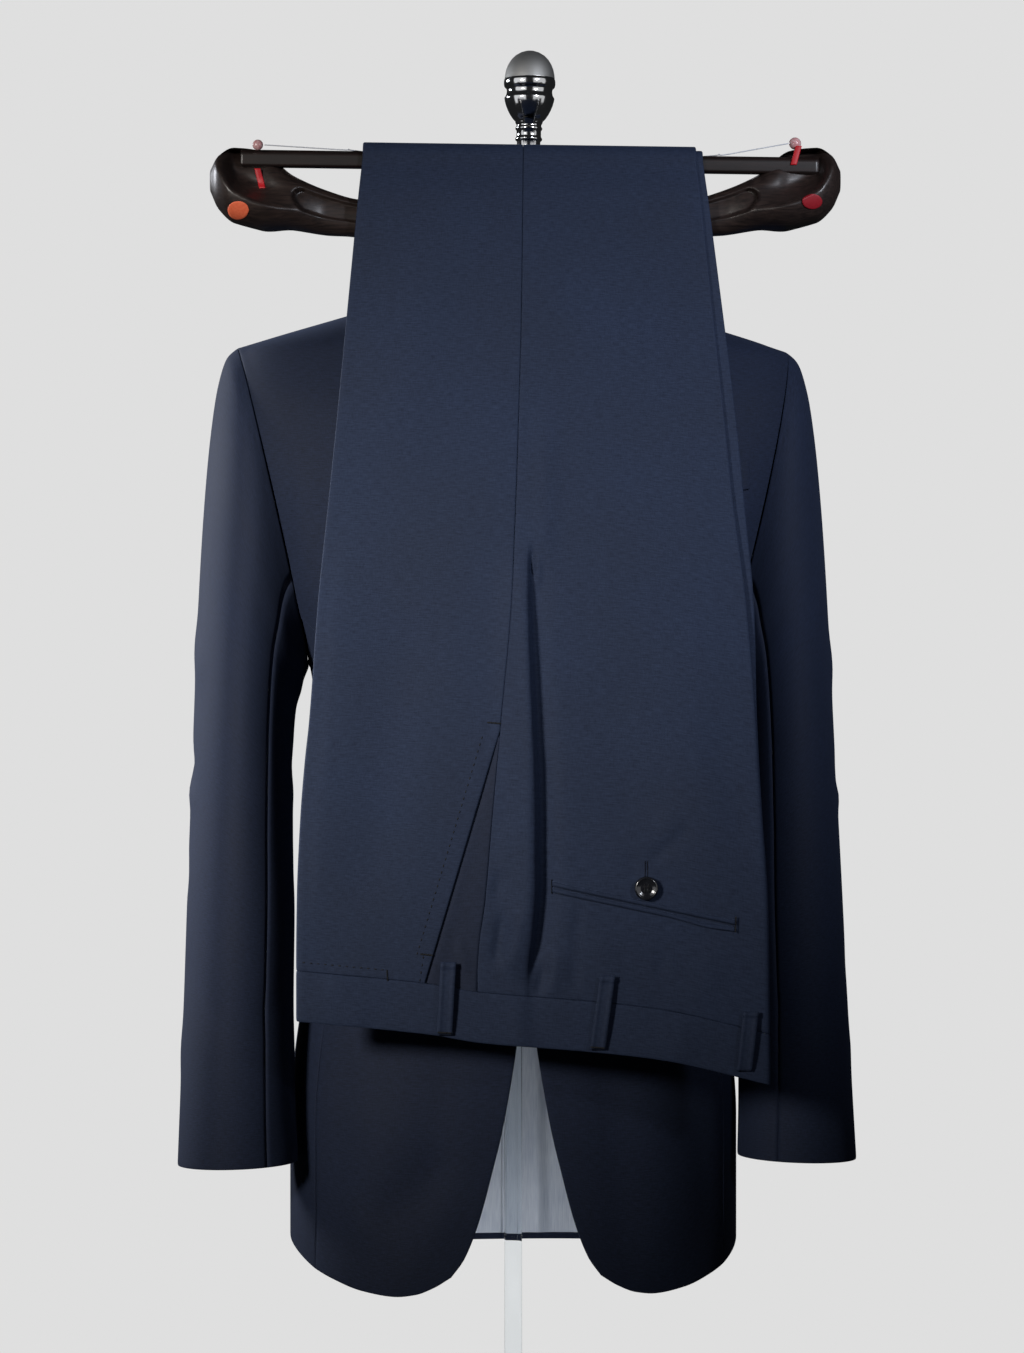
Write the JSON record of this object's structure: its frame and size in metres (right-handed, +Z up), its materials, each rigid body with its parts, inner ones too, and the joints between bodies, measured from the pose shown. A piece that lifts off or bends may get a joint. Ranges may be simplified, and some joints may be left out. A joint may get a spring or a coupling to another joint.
{
  "type": "two-piece suit on a dress form with a trouser hanger",
  "caption": "Wool suit jacket filled out on a limbless dress form, with its trousers folded over the bar of an upside-down wooden hanger tied in front.",
  "frame": {"origin": "centre of the base plate's underside, where it rests on a counter", "axes": "+Z up along the stand; the suit faces -Y; the wearer's right is -X"},
  "size_m": [0.5328, 0.3584, 1.0999],
  "materials": {
    "jacket_wool": "worsted wool, plain fine weave",
    "trouser_wool": "worsted wool, plain fine weave",
    "lining": "smooth satin lining",
    "horn": "polished dark button",
    "hanger_wood": "dark stained, satin",
    "bar_wood": "dark red-brown stained, satin",
    "finial_metal": "turned, satin dome with polished bands",
    "hook_steel": "drawn wire",
    "form_cloth": "close jersey cover",
    "acrylic": "clear polished acrylic",
    "red_rubber": "smooth",
    "orange_disc": "plain paper disc",
    "crimson_disc": "plain paper disc",
    "thread": "clear nylon line"
  },
  "bodies": {
    "root": {"back_pocket_button": "horn", "back_pocket_jet_lower": "trouser_wool", "back_pocket_jet_upper": "trouser_wool", "belt_loop_back_right": "trouser_wool", "belt_loop_front_left": "trouser_wool", "belt_loop_front_right": "trouser_wool", "belt_loop_side_left": "trouser_wool", "belt_loop_side_right": "trouser_wool", "breast_pocket_welt": "jacket_wool", "form_finial": "finial_metal", "form_neck_cap": "hanger_wood", "form_torso": "form_cloth", "front_button_lower": "horn", "front_button_upper": "horn", "hanger_arms": "hanger_wood", "hanger_bar": "bar_wood", "hanger_disc_crimson": "crimson_disc", "hanger_disc_orange": "orange_disc", "hanger_hook": "hook_steel", "hanger_tie_left": "red_rubber", "hanger_tie_right": "red_rubber", "jacket_back_left": "jacket_wool", "jacket_back_lining_left": "lining", "jacket_back_lining_right": "lining", "jacket_back_right": "jacket_wool", "jacket_collar": "jacket_wool", "jacket_front_left": "jacket_wool", "jacket_front_right": "jacket_wool", "jacket_lapel_left": "jacket_wool", "jacket_lapel_right": "jacket_wool", "jacket_side_left": "jacket_wool", "jacket_side_right": "jacket_wool", "side_pocket_facing": "trouser_wool", "stand_base": "acrylic", "stand_rod": "acrylic", "thread_bead_left": "red_rubber", "thread_bead_right": "red_rubber", "thread_left": "thread", "thread_right": "thread", "top_sleeve_left": "jacket_wool", "top_sleeve_right": "jacket_wool", "trouser_back_left": "trouser_wool", "trouser_back_right": "trouser_wool", "trouser_front_left": "trouser_wool", "trouser_front_right": "trouser_wool", "under_sleeve_left": "jacket_wool", "under_sleeve_right": "jacket_wool", "waistband_left": "trouser_wool", "waistband_right": "trouser_wool"}
  },
  "joints": []
}
